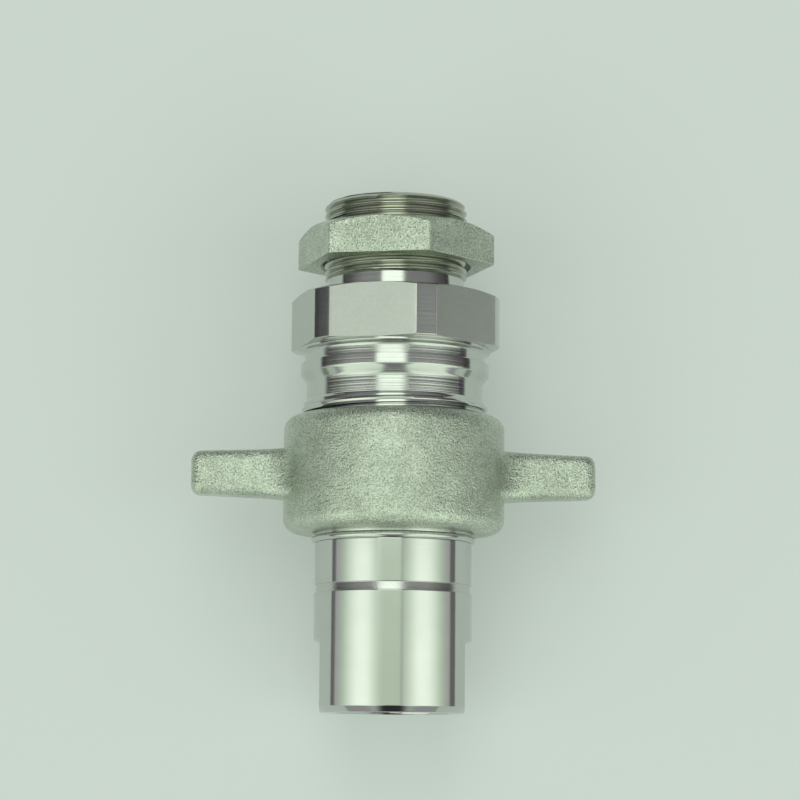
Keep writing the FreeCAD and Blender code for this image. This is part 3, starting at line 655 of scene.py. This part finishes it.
def cord_ring(name, node):
    """A moulded ring of 2 mm round cord: radius = mean + cos v, y = middle + sin v."""
    outer_r, low, high = extent(node)
    v = np.radians(np.arange(0, 360, 15))[:, None]
    rows = np.stack([outer_r - 1 + np.cos(v) + 0 * plain_angles,
                     (low + high) / 2 + np.sin(v) + 0 * plain_angles], axis=-1)
    piece = skin(name, [revolve(rows, plain_angles)])
    seat(piece, "socket_half", node, seal_rubber)


cord_ring("mouth_ring_cord", "mouth_o_ring")
cord_ring("sleeve_ring_cord", "sleeve_o_ring")
cord_ring("adapter_ring_cord", "adapter_o_ring")

backup_plastic, shader, net, place = new_material("backup_plastic")
flow = grains(net, place, 0.8, 3.0)
bump = net.add("ShaderNodeBump", Height=flow, Distance=0.00001, Strength=0.5)
feed(net, shader, Metallic=0.0, Normal=bump,
     Base_Color=flow.rise(0.3, 0.7).colour((0.74, 0.73, 0.68), (0.82, 0.81, 0.77)),
     Roughness=0.4 + 0.15 * flow)
plain_ring("mouth_backup_skin", 2.0, (0.08, 0.08), "socket_half", "mouth_backup_ring",
           backup_plastic)
plain_ring("sleeve_backup_skin", 2.0, (0.08, 0.08), "socket_half", "sleeve_backup_ring",
           backup_plastic)


# The wire ring. Sprung round wire, plated bright, in the groove behind the wing nut, open
# at the underside, where it was sprung in. It keeps the nut on the socket half.

half_gap = 4.5
ring_turn = np.radians(np.linspace(180 + half_gap, 540 - half_gap, 118))[:, None]
ring_width = np.ones(ring_turn.shape)
ring_width[[0, -1]] = 0.0
ring_width[[1, -2]] = 0.75
ring_points = wire_sheet(ring_turn, wire_outer - 1, ring_width, (wire_low + wire_high) / 2, 20,
                         wire_low, wire_high)
wire_ring = skin("wire_ring_skin", [ring_points], crease=50)
seat(wire_ring, "socket_half", "nut_retaining_wire", zinc_turned)


# The wing nut. Barrel and both wings forged in one piece, trimmed along the line that runs
# down the middle of the wings, shot-blasted, bored, threaded and zinc plated.

_, rear_y, front_y = extent("wing_nut")
nut_r = round(1000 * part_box("wing_nut")[1].z, 2)
round_edge, nut_bore_r, room_r = 3.9, 22.6, 27.6
nut_low, nut_high = (26.95, -47.52), (27.45, front_y)
arc = np.radians(np.linspace(0, 90, 10))
front_arc = [(nut_r - round_edge * (1 - math.sin(a)), front_y - round_edge * (1 - math.cos(a)), 0)
             for a in arc]
rear_arc = [(nut_r - round_edge * (1 - math.cos(a)), rear_y + round_edge * (1 - math.sin(a)), 0)
            for a in arc]
outline = turned(front_arc + rear_arc + [
    (nut_bore_r + 0.4, rear_y, 0.12), (nut_bore_r, rear_y + 0.4, 0.12),
    (nut_bore_r, flange_back - 0.1, 0.2), (room_r, flange_back - 0.1, 0.2),
    (room_r, -48.17, 0.2), (*nut_low, 0), (*nut_high, 0)], plain_angles)
inner_thread = screw(plain_angles, nut_low, nut_high, union_pitch, [
    (0.0, 27.75), (0.1, 27.75), (0.30, 27.05), (0.335, 26.95), (0.765, 26.95),
    (0.80, 27.05)], (1.0, 0.5), outside=False)
barrel = revolve(np.concatenate([outline[:-2], inner_thread]), plain_angles)

# Half of a wing's section, two rounded corners and a face: where the middle of each curve
# stands as a share of the half size, the way from there to the surface, and the seam. The
# other half is the same with every sign turned round.
quarter = np.radians(np.linspace(0, 90, 7))
corner = np.ones(7)
face = np.ones(11)
face_share = np.array([0.85, 0.55, 0.25, 0, 0, 0, 0, 0, -0.25, -0.55, -0.85])
seam_y = np.array([0, 0, 0, 0.3, 0.15, 0, -0.15, -0.3, 0, 0, 0]) + 0.5
seam_z = np.array([0, 0, 0, 0, 0.02, 0.03, 0.02, 0, 0, 0, 0])
half_section = np.array([
    np.concatenate([corner, corner, face_share]),
    np.concatenate([corner, -corner, -face]),
    np.concatenate([np.sin(quarter), np.cos(quarter), 0 * face]),
    np.concatenate([np.cos(quarter), -np.sin(quarter), -face]),
    np.concatenate([0 * corner, 0 * corner, seam_y]),
    np.concatenate([0 * corner, 0 * corner, -seam_z])])
side_y, side_z, bend_y, bend_z, shift_y, ridge = np.hstack([half_section, -half_section])


def wing(side):
    """Rounded-rectangle sections along x: half thickness follows the flare's circle, then a
    taper, then the tip's circle; half height tapers and rounds off at the tip. A trimmed
    seam stands up along the faces. The wings are turned 3.5 degrees about the axis: x cos +
    z sin, z cos - x sin."""
    flare_x, flare_z, flare_r = 39.946, 17.84, 12
    tip_x, tip_z, tip_r = 54.75, 1.75, 3.4
    end_x, end_r = 55.75, 2.4
    half_thick, thick_fall, half_tall, tall_fall = 7.643, 0.04545, 6.95, 0.03125
    wing_y, turn = (front_y + rear_y) / 2, math.radians(3.5)
    flare = np.radians(np.linspace(204.06, 267.4, 15))
    taper_x = np.linspace(40.2, tip_x, 9)
    tip = np.radians(np.linspace(8, 90, 10))
    x = np.concatenate([flare_x + flare_r * np.cos(flare), taper_x, tip_x + tip_r * np.sin(tip)])
    thick = np.concatenate([flare_z + flare_r * np.sin(flare), half_thick - thick_fall * taper_x,
                            tip_z + tip_r * np.cos(tip)])
    tall = half_tall - tall_fall * (x - nut_r)
    past = np.clip(x - end_x, 0, end_r)
    tall = tall - end_r + np.sqrt(end_r ** 2 - past ** 2)
    round_r = np.minimum(2.7, 0.9 * thick)
    scale = np.concatenate([[0, 0.5], np.ones(len(x)), [0.7, 0.35, 0]])[:, None]
    closed = np.concatenate([[0, 0], np.arange(len(x)), [-1, -1, -1]])
    x, thick, tall, round_r = (v[closed][:, None] for v in (x, thick, tall, round_r))
    y = side_y * (tall - round_r) + bend_y * round_r + shift_y
    z = (side_z * (thick - round_r) + bend_z * round_r + ridge) * scale
    x = side * x + 0 * y
    points = np.stack([x * math.cos(turn) + z * math.sin(turn), wing_y + y * scale,
                       z * math.cos(turn) - x * math.sin(turn)], axis=-1)
    return np.concatenate([points, points[:, :1]], axis=1)


wing_nut = skin("wing_nut_skin", [barrel, wing(1), wing(-1)])
seat(wing_nut, "union_nut", "wing_nut", zinc_forged)


# The socket half's valve. A turned sleeve slides over a fixed mushroom-headed stem and is
# pushed shut by a spring; a spider and a thin nut hold the stem's other end.

sleeve_r, sleeve_back, sleeve_front = extent("valve_sleeve")
_, _, sleeve_seat = extent("sleeve_spring")
turned_piece("sleeve_skin", [
    (10.6, sleeve_front, 0.15), (sleeve_r - 0.4, sleeve_front, 0.12),
    (sleeve_r, sleeve_front - 0.4, 0.12), (sleeve_r, sleeve_back + 0.4, 0.12),
    (sleeve_r - 0.4, sleeve_back, 0.12), (16.2, sleeve_back, 0.15), (16.2, sleeve_seat, 0.15),
    (13.0, sleeve_seat, 0.15), (13.0, sleeve_seat + 1.6, 0.3), (10.6, sleeve_seat + 4, 0.3)],
    "sleeve", "valve_sleeve", steel_turned)

head_r, stem_back, _ = extent("valve_stem")
_, head_seal_low, head_seal_high = extent("stem_head_seal")
shank_r, screw_r = 5.0, 4.0
turned_piece("stem_skin", [
    *sealed_head(head_r, face_y, head_seal_high, head_seal_low), (head_r, face_y - 5, 0.15),
    (shank_r, face_y - 7.75, 0.6), (shank_r, spigot_y, 0.1), (screw_r, spigot_y, 0.1),
    (screw_r, stem_back + 0.4, 0.1), (screw_r - 0.4, stem_back, 0.1), (0, stem_back, 0)],
    "socket_half", "valve_stem", steel_turned)
plain_ring("stem_seal_skin", 1.67, (0.1, 0.25), "socket_half", "stem_head_seal",
           seal_rubber)
coil("sleeve_spring_coil", 7, "sleeve_spring")
keep_node("stem_spider", steel_turned)
keep_node("stem_nut", steel_turned)


# The hose adapter. Bar turned to match the socket body, screwed on its spigot and bored
# for the hose's pipe thread; two flats for a spanner are milled on its open end.

# The open end's face stands 0.01 inside the box.
adapter_r, box_end, joint_y = extent("hose_adapter")
_, spider_y, _ = extent("stem_spider")
end_face = box_end + 0.01
half_flats, flats_y, end_r = 20.5, -99.3, 20.85
socket_r, waterway_r = 20.25, 13.5
flat_turn = math.degrees(math.asin(half_flats / adapter_r))
adapter_angles = turn_angles([flat_turn, 180 - flat_turn, 180 + flat_turn, 360 - flat_turn])
flat_r = least(half_flats / np.maximum(abs(np.sin(adapter_angles)), 0.1), adapter_r, 0.05)
hose_low, hose_high = (pipe_mouth_r, end_face), (pipe_deep_r, box_end + pipe_depth)
outline = turned([
    (socket_r, joint_y, 0), (22.05, joint_y, 0), (22.15, -85.9, 0.12), (adapter_r, -86.0, 0.12),
    (adapter_r, flats_y, 0.12), (flat_r, flats_y - 0.5 * (adapter_r - flat_r), 0.12),
    (flat_r, end_face + np.maximum(flat_r - end_r, 0.2), 0.12),
    (np.minimum(flat_r - 0.2, end_r), end_face, 0.12), (*hose_low, 0), (*hose_high, 0),
    (waterway_r, hose_high[1], 0.15), (waterway_r, spider_y, 0.15), (socket_r, spider_y, 0.15)],
    adapter_angles)
hose_thread = pipe_thread(adapter_angles, hose_low, hose_high)
thread_row = row_at(outline, hose_low)
profile = np.concatenate([outline[:thread_row], hose_thread, outline[thread_row + 2:]])
radius, y = profile[..., 0], profile[..., 1]
milled = (abs(radius - flat_r) < 0.03) & (flat_r < adapter_r - 0.05) & (y < -99.0)
in_joint = (radius < 22.2) & (y > -86.0)
hose_adapter = skin("hose_adapter_skin", [revolve(profile, adapter_angles)],
                    {"drawn": np.maximum(milled, 0.4 * in_joint), "polished": 1 - milled})
seat(hose_adapter, "socket_half", "hose_adapter", zinc_turned)
